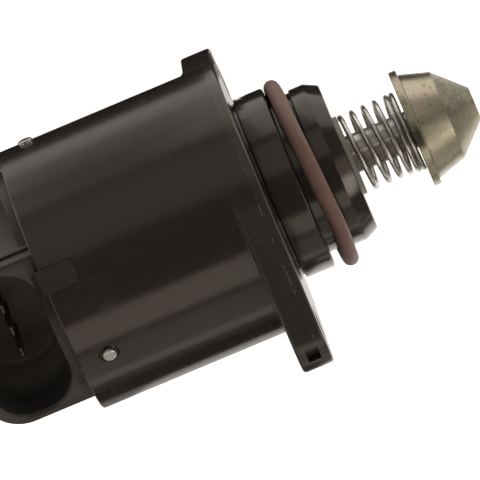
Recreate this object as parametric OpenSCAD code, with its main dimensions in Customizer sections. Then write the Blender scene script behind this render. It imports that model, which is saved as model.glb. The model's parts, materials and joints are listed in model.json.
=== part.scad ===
// Idle air control valve: a claw-pole stepper motor in a flanged plastic barrel
// drives a sprung pintle in and out of an air passage.
// The origin lies on the pintle's axis, in the flange's mounting face.
// +X points along the axis to the pintle's tip, and +Z the way the connector's mouth faces.
// Angles round the axis are counted from +Z towards -Y.

/* [Barrel] */
// Outside diameter of the motor barrel
barrel_d = 34.6; // [34:0.1:37]
// Length of the barrel behind the mounting face
barrel_l = 29.3; // [29:0.1:32]
// Thickness of the barrel's wall
barrel_wall = 2.2; // [2:0.1:2.6]
// Thickness of plastic between the motor and the mounting face
floor_t = 2.9; // [2.5:0.1:3.2]
// Chamfer round the barrel's open end
barrel_chamfer = 0.3; // [0.1:0.1:0.6]

/* [Flange] */
// Thickness of the flange
flange_t = 4.1; // [3.5:0.1:5]
// Radius of the round end of each ear
ear_r = 5; // [4.5:0.1:6]
// Distance of each screw hole from the axis
ear_reach = 22.05; // [21.5:0.05:24]
// Angle of the ear on the connector's side
ear_near_angle = 25.3; // [15:0.1:40]
// Angle of the ear on the far side
ear_far_angle = 193.7; // [180:0.1:210]
// Diameter of the screw holes
screw_hole_d = 4.5; // [4:0.1:5]
// Radius of the fillet between the flange and the barrel
flange_fillet = 0.3; // [0.2:0.1:1]
// Chamfer along the flange's edges
flange_chamfer = 0.4; // [0.2:0.1:0.6]
// Width of the moulded pocket in the near ear, along the axis
pocket_w = 1.7; // [1:0.1:2.2]
// Height of the pocket, round the ear
pocket_h = 2; // [1:0.1:2.4]
// Depth of the pocket
pocket_depth = 1; // [0.5:0.1:1.6]

/* [Nose] */
// Diameter of the thick part of the nose
nose_d = 24.1; // [23:0.1:25]
// Distance from the mounting face to the O-ring groove
nose_l = 4.4; // [3.5:0.1:5]
// Width of the O-ring groove
groove_w = 2.9; // [2.7:0.1:3.4]
// Diameter of the groove's floor
groove_d = 20.4; // [19.8:0.1:20.6]
// Diameter of the front of the nose, which pilots the valve in its bore
pilot_d = 21; // [20.8:0.1:22]
// Length of the pilot's straight wall
pilot_l = 2; // [1.5:0.1:3]
// Length of the chamfer on the front of the nose
nose_chamfer_l = 1.8; // [1:0.1:2]
// Height of the chamfer on the front of the nose
nose_chamfer_h = 0.85; // [0.5:0.05:1.2]
// Thickness of the cord of the nose's O-ring
ring_cord = 2.1; // [1.8:0.1:2.3]

/* [Pintle] */
// Distance of the pintle's tip from the mounting face
tip_x = 28.25; // [27:0.05:30]
// Diameter of the pintle's seating disc
disc_d = 15.3; // [14.5:0.1:16]
// Thickness of the seating disc
disc_t = 1; // [0.8:0.1:1.4]
// Diameter of the gentle cone at the disc
cone_root_d = 13.9; // [13:0.1:14.2]
// Diameter where the gentle cone ends
cone_mid_d = 11.6; // [11:0.1:12.4]
// Diameter of the pintle's flat tip
tip_d = 4.2; // [3:0.1:5]
// Length of the steep cone
steep_l = 3.75; // [3:0.05:4.5]
// Length of the gentle cone
gentle_l = 3.75; // [3:0.05:4.5]
// Diameter of the stem
stem_d = 4.9; // [4.7:0.1:5.2]
// Distance across the stem's two flats
stem_flats = 4.2; // [4:0.1:4.4]
// Diameter of the drive screw over its thread
screw_d = 4; // [3.8:0.1:4]
// Room behind the drive screw, as far as the floor of the rear boss
screw_room = 5.9; // [5:0.1:7]

/* [Spring] */
// Diameter of the spring's wire
wire_d = 0.72; // [0.6:0.01:0.8]
// Outside diameter of the spring
spring_d = 10.4; // [9.8:0.1:10.6]
// Number of open coils
open_coils = 4; // [3:0.1:5]
// Number of closed coils at the pintle
closed_coils = 1.5; // [0.8:0.1:1.8]
// Diameter of the bush's collar, which the spring stands on
collar_d = 10.4; // [10.2:0.1:11]
// Thickness of the bush's collar
collar_t = 0.5; // [0.4:0.1:0.9]
// Diameter of the bush's sleeve
sleeve_d = 8; // [7.5:0.1:8.6]
// Length of the bush's sleeve inside the nose
sleeve_l = 6; // [5:0.1:6]

/* [End cap] */
// Distance that the cap's round back stays inside the barrel's outside
cap_step = 1.6; // [1.5:0.1:2]
// Length of the cap behind the barrel
cap_l = 13.5; // [13:0.1:15]
// Height of the connector's mouth above the axis
mouth_z = 12.5; // [12:0.1:13.5]
// Length of the connector's cavity across the cap
cavity_l = 19.6; // [19:0.1:20]
// Width of the cavity along the axis
cavity_w = 10.25; // [10:0.05:10.5]
// Depth of the cavity below its mouth
cavity_depth = 13.8; // [12.8:0.1:14]
// Radius of the cavity's corners
cavity_r = 4.6; // [4:0.1:4.8]
// Thickness of the wall at the mouth's long ends
mouth_wall = 1.1; // [0.9:0.05:1.2]
// Height of the recessed rim round the mouth
rim_h = 1.8; // [1:0.1:3]
// Depth of that recess
rim_step = 0.35; // [0.2:0.05:0.5]
// Thickness of the wall between the cavity and the barrel
front_wall = 1.45; // [1.2:0.05:1.6]
// Radius of the cap's upright back corners
cap_corner_r = 5.5; // [4:0.1:6.5]
// Radius of the cap's back edge
cap_edge_r = 2.5; // [1:0.1:4]
// Thickness of the spigot's wall
spigot_wall = 3; // [2.6:0.1:3.2]
// Thickness of the bulkhead in front of the barrel's open end
bulkhead_t = 2.8; // [2:0.1:3]
// Width of the key that sets the cap's angle
key_w = 3.3; // [2.5:0.1:4]
// Length of the key
key_l = 4.4; // [3.5:0.1:4.5]
// Angle of the key
key_angle = -28; // [-40:1:-10]
// Thickness of the cord of the cap's seal
seal_cord = 1.6; // [1.4:0.1:1.8]

/* [Retaining pins] */
// Diameter of the pins
pin_d = 1.85; // [1.5:0.05:2]
// Diameter of the dimple round each pin
dimple_d = 2.5; // [2.3:0.1:3]
// Depth of the dimples
dimple_depth = 0.4; // [0.2:0.1:0.6]
// Distance that the pins stand above the barrel
pin_proud = 0.5; // [0.3:0.1:0.8]
// Length of the pins
pin_l = 4.2; // [4:0.1:5]
// Distance of the pins from the barrel's open end
pin_inset = 4; // [3.6:0.1:4.2]

/* [Terminals] */
// Distance between neighbouring terminals
terminal_pitch = 3.3; // [3:0.1:3.6]
// Width of a terminal
terminal_w = 1.2; // [0.8:0.1:1.5]
// Thickness of a terminal
terminal_t = 0.64; // [0.5:0.02:0.8]
// Height of the terminals' tips above the cavity's floor
terminal_h = 6.6; // [5:0.1:9]
// Distance of the terminals' buried run from the spigot's bore
terminal_inset = 3.05; // [2.6:0.05:3.4]
// Gap between the terminals' inner ends and the motor
terminal_gap = 1.6; // [1:0.1:2.5]

/* [Motor] */
// Length of the barrel behind the motor, which the end cap's spigot takes
rear_room = 9; // [8.6:0.1:9.4]
// Thickness of the cups' walls
cup_wall = 0.9; // [0.8:0.1:1]
// Thickness of the end plates
plate_t = 1; // [0.8:0.1:1.2]
// Number of claws on each plate
claw_count = 6; // [4:1:6]
// Depth of the stators, from the barrel's bore in to the face of the claws
stator_depth = 6.5; // [6.2:0.1:6.6]
// Thickness of the claws
claw_t = 0.9; // [0.7:0.1:1]
// Width of a claw at its root
claw_root_w = 3.8; // [3:0.1:4]
// Width of a claw at its tip
claw_tip_w = 2; // [1.4:0.1:2.4]
// Gap between a claw's tip and the plate opposite
claw_gap = 0.7; // [0.5:0.1:1.2]
// Thickness of the bobbins' walls
bobbin_wall = 0.7; // [0.5:0.1:0.9]
// Depth of each winding
winding_depth = 2.8; // [2:0.1:3]
// Gap between the rotor and the claws
air_gap = 0.3; // [0.25:0.05:0.4]
// Length by which the magnet is shorter than the motor
magnet_short = 3; // [2.6:0.1:5]

/* [Rotor and bearings] */
// Outside diameter of the rotor's nut where it holds the magnet
nut_d = 9; // [8.8:0.1:9.6]
// Diameter of the nut's front journal, and bore of the ball bearing
journal_d = 8; // [7.6:0.1:8]
// Outside diameter of the ball bearing
bearing_d = 16; // [15.6:0.1:16.4]
// Width of the ball bearing
bearing_w = 4; // [3.8:0.1:4.2]
// Thickness of each bearing ring
race_t = 1.35; // [1.1:0.05:1.4]
// Number of balls
ball_count = 8; // [6:1:9]
// Diameter of the balls
ball_d = 2; // [1.8:0.1:2.1]
// Thickness of the cage that spaces the balls
cage_t = 0.6; // [0.4:0.1:0.7]
// Length of the thread in the nut
nut_thread_l = 10; // [8:0.5:11]
// Diameter of the nut's rear journal
rear_journal_d = 6; // [5.6:0.1:6.2]
// Length of the rear bush
bush_l = 4.5; // [4:0.1:5]
// Thickness of the rear bush
bush_wall = 1.4; // [1.2:0.1:1.6]
// Thickness of the boss round the rear bush
boss_wall = 1.5; // [1:0.1:1.6]
// Outside diameter of the stem's wiper
wiper_d = 10; // [9:0.1:10.4]
// Width of the stem's wiper
wiper_w = 2.5; // [2:0.1:2.8]

/* [Fits] */
// Radial clearance of parts that are put together and stay
fit = 0.05; // [0.02:0.01:0.08]
// Radial clearance of shafts that turn or slide
running = 0.06; // [0.03:0.01:0.09]
// Clearance beside parts that must not rub
free_gap = 0.3; // [0.25:0.05:0.4]

/* [Hidden] */

$fn = 96;
// Length by which cutters run past the faces that they cut
past = 1;

black = [0.13, 0.12, 0.11];
steel = [0.62, 0.61, 0.58];
plating = [0.64, 0.60, 0.50];

// Barrel and motor bore
barrel_r = barrel_d / 2;
bore_r = barrel_r - barrel_wall;
motor_front = -floor_t;
motor_rear = rear_room - barrel_l;
half_l = (motor_front - motor_rear) / 2;

// Nose
groove_chamfer = 0.2;
pilot_x = nose_l + groove_w;
nose_front = pilot_x + pilot_l + nose_chamfer_l;
nose_tip_r = pilot_d / 2 - nose_chamfer_h;
bearing_front = motor_front + bearing_w;
wiper_front = bearing_front + wiper_w;
sleeve_rear = nose_front - sleeve_l;
ring_slack = 0.25;

// Pintle, stem and spring
undercut_l = 0.1;
undercut_depth = 0.2;
gentle_x = tip_x - steep_l - gentle_l;
disc_front = gentle_x - undercut_l;
disc_rear = disc_front - disc_t;
screw_set_back = 0.6;
stem_rear = bearing_front - screw_set_back;
shank_d = 3.5;
shank_l = 4.3;
collar_front = nose_front + collar_t;
spring_r = (spring_d - wire_d) / 2;
closed_pitch = wire_d + 0.02;
spring_first = collar_front + wire_d / 2;
spring_last = disc_rear - wire_d / 2;
lead_in_coils = 0.05;
coil_total = lead_in_coils + open_coils + closed_coils;
open_pitch = (spring_last - spring_first - closed_pitch * (lead_in_coils + closed_coils)) / open_coils;
coil_start_angle = -136;
steps_per_coil = 24;
wire_sides = 8;

// Ears
tangent_angle = acos((barrel_r - ear_r) / ear_reach);
pocket_angle = -13;

// End cap and terminals
terminal_count = 4;
cap_r = barrel_r - cap_step;
cap_rear = -barrel_l - cap_l;
cavity_front = -barrel_l - front_wall;
cavity_x = cavity_front - cavity_w / 2;
cavity_floor = mouth_z - cavity_depth;
cap_half = cavity_l / 2 + mouth_wall + rim_step;
// Height from which the connector's walls stand straight up out of the round cap
shroud_z = 8;
spigot_r = bore_r - fit;
spigot_bore_r = spigot_r - spigot_wall;
terminal_run = spigot_bore_r - terminal_inset;
bulkhead_front = -barrel_l + bulkhead_t;
seal_lip = 0.8;
seal_w = seal_cord + free_gap;
seal_front = motor_rear - seal_lip;
seal_floor_r = spigot_r - seal_cord - fit;
pin_x = -barrel_l + pin_inset;
pin_angles = [12, 132, 252];

// Motor
cup_r = bore_r - fit;
cup_bore_r = cup_r - cup_wall;
claw_r = bore_r - stator_depth;
claw_outer_r = claw_r + claw_t;
claw_l = half_l - 2 * plate_t - claw_gap;
bobbin_l = half_l - 2 * plate_t;
bobbin_r = claw_outer_r + fit;
hub_r = bobbin_r + bobbin_wall;
cheek_r = cup_bore_r - free_gap;
winding_r = hub_r + fit + winding_depth;
pole_angle = 180 / claw_count;
middle = motor_front - half_l;

// Rotor and bearings
magnet_r = claw_r - air_gap;
magnet_set_back = 0.5;
nut_tail = 0.4;
rear_journal_l = 5.4;
bush_gap = 2.2;
magnet_l = 2 * half_l - magnet_short;
magnet_front = motor_front - plate_t - magnet_set_back;
nut_rear = magnet_front - magnet_l - nut_tail;
rear_journal_rear = nut_rear - rear_journal_l;
bush_front = nut_rear - bush_gap;
screw_rear = bush_front - bush_l + screw_room;
boss_r = rear_journal_d / 2 + running + bush_wall + fit + boss_wall;
bush_r = rear_journal_d / 2 + running + bush_wall;
race_r = (journal_d / 2 + fit + bearing_d / 2) / 2;
inner_race_r = journal_d / 2 + fit + race_t;
outer_race_r = bearing_d / 2 - race_t;
bearing_x = motor_front + bearing_w / 2;
cage_w = 2.6;
stem_pocket = 3.6;
thread_front = stem_rear - stem_pocket;
thread_rear = thread_front - nut_thread_l;

// Turns a profile of [radius, x] points round the valve's axis
module turned() {
    rotate([0, 90, 0])
        rotate_extrude()
            children();
}

// A tube along the axis from x = rear to x = front
module tube(r, bore, rear, front) {
    turned()
        translate([bore, rear])
            square([r - bore, front - rear]);
}

// A solid rod along the axis
module rod(r, rear, front) {
    translate([rear, 0, 0])
        rotate([0, 90, 0])
            cylinder(r = r, h = front - rear);
}

// Extrudes a drawing made in the Y-Z plane from x = rear to x = front
module across(rear, front) {
    translate([rear, 0, 0])
        rotate([90, 0, 90])
            linear_extrude(front - rear)
                children();
}

// Turns a feature from +Z to an angle round the axis
module at_angle(angle) {
    rotate([angle, 0, 0])
        children();
}

// Outline of one ear as far as its screw hole, with straight flanks tangent to the barrel
module ear_outline() {
    flank = [sin(tangent_angle), cos(tangent_angle)];
    root = flank * (barrel_r - flange_chamfer);
    end = flank * (ear_r - flange_chamfer);
    polygon([
        [0, 0],
        [-root[0], root[1]],
        [-end[0], ear_reach + end[1]],
        [0, ear_reach],
        [end[0], ear_reach + end[1]],
        [root[0], root[1]]
    ]);
}

// Section of the flange from its middle to its edge, with both edges chamfered
module edge_profile(middle_r, edge_r) {
    polygon([
        [middle_r, -flange_t],
        [edge_r - flange_chamfer, -flange_t],
        [edge_r, -flange_t + flange_chamfer],
        [edge_r, -flange_chamfer],
        [edge_r - flange_chamfer, 0],
        [middle_r, 0]
    ]);
}

// Straight flank of an ear, which laps a little over its round end and the barrel
module ear_flank(side) {
    lap = 0.3;
    run = ear_reach * sin(tangent_angle) + 2 * lap;
    at_angle(-side * tangent_angle)
        translate([0, side > 0 ? lap : run - lap, 0])
            rotate([90, 90, 0])
                mirror([1, 0, 0])
                    linear_extrude(run)
                        edge_profile(barrel_r - ear_r - past, barrel_r);
}

module ear(angle) {
    at_angle(angle) {
        across(-flange_t, 0)
            polygon([
                [0, 0],
                [-sin(tangent_angle), cos(tangent_angle)] * (barrel_r - ear_r),
                [0, ear_reach],
                [sin(tangent_angle), cos(tangent_angle)] * (barrel_r - ear_r)
            ]);
        translate([0, 0, ear_reach])
            turned()
                edge_profile(0, ear_r);
        for (side = [-1, 1])
            ear_flank(side);
    }
}

// Ring that fills the corner between the flange's rear face and the barrel
module flange_corner() {
    turned()
        difference() {
            translate([barrel_r - past, -flange_t - flange_fillet])
                square([flange_fillet + past, flange_fillet + past]);
            translate([barrel_r + flange_fillet, -flange_t - flange_fillet])
                circle(flange_fillet);
        }
}

// Cut that the key fills, from inside the bore to outside the wall
module key_slot(gap) {
    at_angle(key_angle)
        translate([-barrel_l - past, -key_w / 2 - gap, bore_r - past])
            cube([key_l + past + gap, key_w + 2 * gap, barrel_wall + 2 * past]);
}

module nose_profile() {
    polygon([
        [0, -barrel_l],
        [barrel_r - barrel_chamfer, -barrel_l],
        [barrel_r, -barrel_l + barrel_chamfer],
        [barrel_r, -flange_chamfer],
        [barrel_r - flange_chamfer, 0],
        [nose_d / 2, 0],
        [nose_d / 2, nose_l - groove_chamfer],
        [nose_d / 2 - groove_chamfer, nose_l],
        [groove_d / 2, nose_l],
        [groove_d / 2, pilot_x],
        [pilot_d / 2, pilot_x],
        [pilot_d / 2, pilot_x + pilot_l],
        [nose_tip_r, nose_front],
        [0, nose_front]
    ]);
}

module bore_profile() {
    polygon([
        [0, -barrel_l - past],
        [bore_r, -barrel_l - past],
        [bore_r, motor_front],
        [bearing_d / 2 + fit, motor_front],
        [bearing_d / 2 + fit, bearing_front],
        [wiper_d / 2 + fit, bearing_front],
        [wiper_d / 2 + fit, wiper_front],
        [stem_d / 2 + free_gap, wiper_front],
        [stem_d / 2 + free_gap, sleeve_rear],
        [sleeve_d / 2 + fit, sleeve_rear],
        [sleeve_d / 2 + fit, nose_front + past],
        [0, nose_front + past]
    ]);
}

module ear_pocket() {
    at_angle(ear_near_angle)
        translate([-flange_t / 2, 0, ear_reach])
            rotate([pocket_angle, 0, 0])
                translate([-pocket_w / 2, -pocket_h / 2, ear_r - pocket_depth])
                    cube([pocket_w, pocket_h, pocket_depth + past]);
}

module housing() {
    color(black)
        difference() {
            union() {
                turned()
                    nose_profile();
                ear(ear_near_angle);
                ear(ear_far_angle);
                intersection() {
                    flange_corner();
                    union() {
                        at_angle(ear_near_angle)
                            across(-flange_t - flange_fillet, -flange_t + flange_chamfer)
                                ear_outline();
                        at_angle(ear_far_angle)
                            across(-flange_t - flange_fillet, -flange_t + flange_chamfer)
                                ear_outline();
                    }
                }
            }
            turned()
                bore_profile();
            for (angle = [ear_near_angle, ear_far_angle])
                at_angle(angle)
                    translate([-flange_t - past, 0, ear_reach])
                        rotate([0, 90, 0])
                            cylinder(d = screw_hole_d, h = flange_t + 2 * past);
            ear_pocket();
            key_slot(0);
            for (angle = pin_angles)
                at_angle(angle)
                    translate([pin_x, 0, 0]) {
                        translate([0, 0, bore_r - past])
                            cylinder(d = pin_d, h = barrel_wall + 2 * past);
                        translate([0, 0, barrel_r - dimple_depth])
                            cylinder(d = dimple_d, h = dimple_depth + past);
                    }
        }
}

// Plan of the cap seen from its mouth, with its two back corners rounded
module cap_plan(inset) {
    half = cap_half - inset;
    rear = cap_rear + inset;
    r = cap_corner_r - inset;
    polygon([
        [-barrel_l, -half],
        [-barrel_l, half],
        [rear + r, half],
        [rear, half - r],
        [rear, -half + r],
        [rear + r, -half]
    ]);
    for (side = [-1, 1])
        translate([rear + r, side * (half - r)])
            circle(r);
}

module cap_block(inset, bottom, top) {
    translate([0, 0, bottom])
        linear_extrude(top - bottom)
            cap_plan(inset);
}

// Round section of the cap, with its back edge rounded
module cap_section() {
    polygon([
        [0, cap_rear],
        [cap_r - cap_edge_r, cap_rear],
        [cap_r, cap_rear + cap_edge_r],
        [cap_r, -barrel_l],
        [0, -barrel_l]
    ]);
    translate([cap_r - cap_edge_r, cap_rear + cap_edge_r])
        circle(cap_edge_r);
}

module cavity_plan() {
    corner_x = cavity_w / 2 - cavity_r;
    corner_y = cavity_l / 2 - cavity_r;
    square([cavity_w, 2 * corner_y], center = true);
    square([2 * corner_x, cavity_l], center = true);
    for (sx = [-1, 1], sy = [-1, 1])
        translate([sx * corner_x, sy * corner_y])
            circle(cavity_r);
}

// One terminal: a pointed blade in the cavity, bent under the bulkhead towards the motor
module terminal_shape(number) {
    y = (number - (terminal_count + 1) / 2) * terminal_pitch;
    x = cavity_x - terminal_t / 2;
    tip = cavity_floor + terminal_h;
    front = motor_rear - terminal_gap;
    bottom = -terminal_run - terminal_t;
    point = 0.2;
    translate([0, y + terminal_w / 2, 0])
        rotate([90, 0, 0])
            linear_extrude(terminal_w)
                polygon([
                    [x, bottom],
                    [front, bottom],
                    [front, bottom + terminal_t],
                    [x + terminal_t, bottom + terminal_t],
                    [x + terminal_t, tip - 2 * point],
                    [x + terminal_t - point, tip],
                    [x + point, tip],
                    [x, tip - 2 * point]
                ]);
}

module end_cap() {
    color(black)
        difference() {
            union() {
                intersection() {
                    turned()
                        cap_section();
                    cap_block(0, -cap_r - past, shroud_z);
                }
                cap_block(0, shroud_z, mouth_z - rim_h);
                cap_block(rim_step, mouth_z - rim_h, mouth_z);
                tube(spigot_r, spigot_bore_r, -barrel_l, motor_rear);
                rod(spigot_r, -barrel_l, bulkhead_front);
                rod(boss_r, -barrel_l, bush_front);
                intersection() {
                    key_slot(-fit);
                    rod(barrel_r - fit, -barrel_l, motor_rear);
                }
            }
            translate([cavity_x, 0, cavity_floor])
                linear_extrude(cavity_depth + past)
                    cavity_plan();
            rod(bush_r + fit, bush_front - bush_l, bush_front + past);
            tube(spigot_r + past, seal_floor_r, seal_front - seal_w, seal_front);
            for (number = [1:terminal_count])
                terminal_shape(number);
            for (angle = pin_angles)
                at_angle(angle)
                    translate([pin_x, 0, barrel_r + pin_proud - pin_l])
                        cylinder(d = pin_d, h = pin_l);
        }
}

module ring_seal(mid_r, cord, x) {
    turned()
        translate([mid_r, x])
            circle(d = cord, $fn = 32);
}

module cap_seal() {
    color([0.10, 0.10, 0.10])
        ring_seal(bore_r - fit - seal_cord / 2, seal_cord, seal_front - seal_w / 2);
}

module nose_o_ring() {
    color([0.47, 0.33, 0.29])
        ring_seal(groove_d / 2 + ring_slack + ring_cord / 2, ring_cord, nose_l + groove_w / 2);
}

module retaining_pin(number) {
    color(steel)
        at_angle(pin_angles[number - 1])
            translate([pin_x, 0, barrel_r + pin_proud - pin_l])
                cylinder(d = pin_d, h = pin_l);
}

module terminal(number) {
    color([0.72, 0.66, 0.50])
        terminal_shape(number);
}

module pintle() {
    color(plating)
        difference() {
            turned()
                polygon([
                    [0, disc_rear],
                    [disc_d / 2, disc_rear],
                    [disc_d / 2, disc_front],
                    [cone_root_d / 2 - undercut_depth, disc_front],
                    [cone_root_d / 2, gentle_x],
                    [cone_mid_d / 2, gentle_x + gentle_l],
                    [tip_d / 2, tip_x],
                    [0, tip_x]
                ]);
            rod(shank_d / 2 + fit, disc_rear - past, disc_rear + shank_l);
        }
}

module drive_screw() {
    color(steel) {
        intersection() {
            rod(stem_d / 2, stem_rear, disc_rear);
            translate([stem_rear, -stem_d, -stem_flats / 2])
                cube([disc_rear - stem_rear, 2 * stem_d, stem_flats]);
        }
        rod(shank_d / 2, disc_rear, disc_rear + shank_l);
        rod(screw_d / 2, screw_rear, stem_rear);
    }
}

// Place of the wire's centre along the axis after a number of coils
function coil_x(turns) =
    spring_first
    + closed_pitch * min(turns, lead_in_coils)
    + open_pitch * min(max(turns - lead_in_coils, 0), open_coils)
    + closed_pitch * max(turns - lead_in_coils - open_coils, 0);

function wire_ring(turns) =
    let (angle = coil_start_angle + 360 * turns)
    [for (side = [0:wire_sides - 1])
        let (
            around = 360 * side / wire_sides,
            r = spring_r + wire_d / 2 * cos(around)
        )
        [coil_x(turns) + wire_d / 2 * sin(around), -r * sin(angle), r * cos(angle)]];

module valve_spring() {
    last = ceil(coil_total * steps_per_coil);
    rings = [for (i = [0:last]) wire_ring(coil_total * i / last)];
    points = [for (ring = rings) for (point = ring) point];
    walls = [for (i = [0:last - 1]) for (side = [0:wire_sides - 1])
        let (
            next = (side + 1) % wire_sides,
            low = i * wire_sides,
            high = low + wire_sides
        )
        [low + side, low + next, high + next, high + side]];
    first_end = [for (side = [0:wire_sides - 1]) wire_sides - 1 - side];
    last_end = [for (side = [0:wire_sides - 1]) last * wire_sides + side];
    color(steel)
        polyhedron(points = points, faces = concat(walls, [first_end, last_end]), convexity = 8);
}

module guide_bush() {
    color([0.70, 0.70, 0.68])
        difference() {
            union() {
                rod(sleeve_d / 2, sleeve_rear, nose_front);
                rod(collar_d / 2, nose_front, collar_front);
            }
            intersection() {
                rod(stem_d / 2 + running, sleeve_rear - past, collar_front + past);
                translate([sleeve_rear - past, -stem_d, -stem_flats / 2 - running])
                    cube([sleeve_l + collar_t + 2 * past, 2 * stem_d, stem_flats + 2 * running]);
            }
        }
}

module stem_wiper() {
    color([0.25, 0.22, 0.20])
        tube(wiper_d / 2, stem_d / 2 + running, bearing_front, wiper_front);
}

module rotor_magnet() {
    color([0.24, 0.24, 0.26])
        tube(magnet_r, nut_d / 2 + fit, magnet_front - magnet_l, magnet_front);
}

module rotor_nut() {
    color([0.78, 0.66, 0.36])
        difference() {
            union() {
                rod(nut_d / 2, nut_rear, motor_front);
                rod(journal_d / 2, motor_front, bearing_front);
                rod(rear_journal_d / 2, rear_journal_rear, nut_rear);
            }
            rod(stem_d / 2 + free_gap, thread_front, bearing_front + past);
            rod(screw_d / 2 + running, thread_rear - past, thread_front + past);
            rod(screw_d / 2 + free_gap, rear_journal_rear - past, thread_rear);
        }
}

// Groove of both bearing rings, wide enough for the balls to run clear
module race_groove() {
    turned()
        translate([race_r, bearing_x])
            circle(r = ball_d / 2 + running, $fn = 32);
}

module bearing_outer_ring() {
    color(steel)
        difference() {
            tube(bearing_d / 2, outer_race_r, motor_front, bearing_front);
            race_groove();
        }
}

module bearing_inner_ring() {
    color(steel)
        difference() {
            tube(inner_race_r, journal_d / 2 + fit, motor_front, bearing_front);
            race_groove();
        }
}

module bearing_balls() {
    color(steel)
        for (i = [0:ball_count - 1])
            at_angle(360 * i / ball_count)
                translate([bearing_x, 0, race_r])
                    sphere(d = ball_d, $fn = 32);
}

module bearing_cage() {
    color([0.60, 0.50, 0.30])
        difference() {
            tube(race_r + cage_t / 2, race_r - cage_t / 2, bearing_x - cage_w / 2, bearing_x + cage_w / 2);
            for (i = [0:ball_count - 1])
                at_angle(360 * i / ball_count)
                    translate([bearing_x, 0, race_r])
                        sphere(d = ball_d + 2 * fit, $fn = 32);
        }
}

module rear_bush() {
    color([0.60, 0.45, 0.25])
        tube(bush_r, rear_journal_d / 2 + running, bush_front - bush_l, bush_front);
}

// A ring of tapered claws bent from the plate whose outer face is at x = outer, pointing along way
module claws(outer, way, first_angle) {
    tip = outer + way * (plate_t + claw_l);
    intersection() {
        tube(claw_outer_r, claw_r, min(outer, tip), max(outer, tip));
        for (i = [0:claw_count - 1])
            at_angle(first_angle + 360 * i / claw_count)
                linear_extrude(claw_outer_r + past)
                    polygon([
                        [outer, -claw_root_w / 2],
                        [outer, claw_root_w / 2],
                        [tip, claw_tip_w / 2],
                        [tip, -claw_tip_w / 2]
                    ]);
    }
}

// End plate of a stator half, from its outer face to its inner face
module end_plate(r, outer, way) {
    inner = outer + way * plate_t;
    tube(r, claw_r, min(outer, inner), max(outer, inner));
}

module stator_cup(outer, way, first_angle) {
    open_end = outer + way * half_l;
    color(steel)
        union() {
            tube(cup_r, cup_bore_r, min(outer, open_end), max(outer, open_end));
            end_plate(cup_r, outer, way);
            claws(outer, way, first_angle);
        }
}

module claw_ring(outer, way, first_angle) {
    color(steel)
        union() {
            end_plate(cup_bore_r - fit, outer, way);
            claws(outer, way, first_angle);
        }
}

module bobbin(rear) {
    color([0.85, 0.83, 0.76])
        turned()
            polygon([
                [bobbin_r, rear],
                [cheek_r, rear],
                [cheek_r, rear + bobbin_wall],
                [hub_r, rear + bobbin_wall],
                [hub_r, rear + bobbin_l - bobbin_wall],
                [cheek_r, rear + bobbin_l - bobbin_wall],
                [cheek_r, rear + bobbin_l],
                [bobbin_r, rear + bobbin_l]
            ]);
}

module winding(rear) {
    color([0.72, 0.38, 0.20])
        tube(winding_r, hub_r + fit, rear + bobbin_wall + fit, rear + bobbin_l - bobbin_wall - fit);
}

housing();
end_cap();
cap_seal();
nose_o_ring();
retaining_pin(1);  // retaining_pin_1
retaining_pin(2);  // retaining_pin_2
retaining_pin(3);  // retaining_pin_3
terminal(1);  // terminal_1
terminal(2);  // terminal_2
terminal(3);  // terminal_3
terminal(4);  // terminal_4
pintle();
drive_screw();
valve_spring();
guide_bush();
stem_wiper();
rotor_magnet();
rotor_nut();
bearing_outer_ring();
bearing_inner_ring();
bearing_balls();
bearing_cage();
rear_bush();
stator_cup(motor_front, -1, 0);  // front_cup
claw_ring(middle, 1, pole_angle);  // front_claw_ring
stator_cup(motor_rear, 1, pole_angle / 2);  // rear_cup
claw_ring(middle, -1, pole_angle * 3 / 2);  // rear_claw_ring
bobbin(middle + plate_t);  // front_bobbin
bobbin(motor_rear + plate_t);  // rear_bobbin
winding(middle + plate_t);  // front_winding
winding(motor_rear + plate_t);  // rear_winding
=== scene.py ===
import json
from math import acos, ceil, cos, degrees, pi, radians, sin, sqrt, tan

import bmesh
import bpy
from mathutils import Matrix, Vector


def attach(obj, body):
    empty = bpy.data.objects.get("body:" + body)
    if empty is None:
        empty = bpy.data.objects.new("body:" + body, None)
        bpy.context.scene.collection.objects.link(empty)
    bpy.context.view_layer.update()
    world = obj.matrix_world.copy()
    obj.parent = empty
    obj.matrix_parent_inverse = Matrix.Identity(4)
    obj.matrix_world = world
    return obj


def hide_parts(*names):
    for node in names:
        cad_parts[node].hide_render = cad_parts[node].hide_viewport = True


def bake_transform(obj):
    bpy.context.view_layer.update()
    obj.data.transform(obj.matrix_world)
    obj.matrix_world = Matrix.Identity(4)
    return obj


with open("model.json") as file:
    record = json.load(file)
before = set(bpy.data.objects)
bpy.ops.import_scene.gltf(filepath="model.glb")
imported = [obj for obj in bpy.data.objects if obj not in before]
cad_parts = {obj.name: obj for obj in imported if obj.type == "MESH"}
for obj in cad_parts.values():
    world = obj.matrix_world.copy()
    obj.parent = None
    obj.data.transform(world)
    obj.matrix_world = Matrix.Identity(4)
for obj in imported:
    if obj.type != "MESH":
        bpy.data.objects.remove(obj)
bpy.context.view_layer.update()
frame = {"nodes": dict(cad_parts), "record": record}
nodes = frame["nodes"]
print("frame loaded:", len(nodes), "solids")


# Meshes are built in millimetres and shrunk to metres when they are done.

mm = 0.001
softEdge = 28  # degrees: flatter edges are shaded smooth


def newPiece(name, points, faces):
    mesh = bpy.data.meshes.new(name)
    mesh.from_pydata(points, [], faces)
    piece = bpy.data.objects.new(name, mesh)
    bpy.context.scene.collection.objects.link(piece)
    tidyMesh(piece)
    return piece


def tidyMesh(piece, gap=1e-5):
    work = bmesh.new()
    work.from_mesh(piece.data)
    bmesh.ops.remove_doubles(work, verts=work.verts, dist=gap)
    bmesh.ops.recalc_face_normals(work, faces=work.faces)
    work.to_mesh(piece.data)
    work.free()


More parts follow.
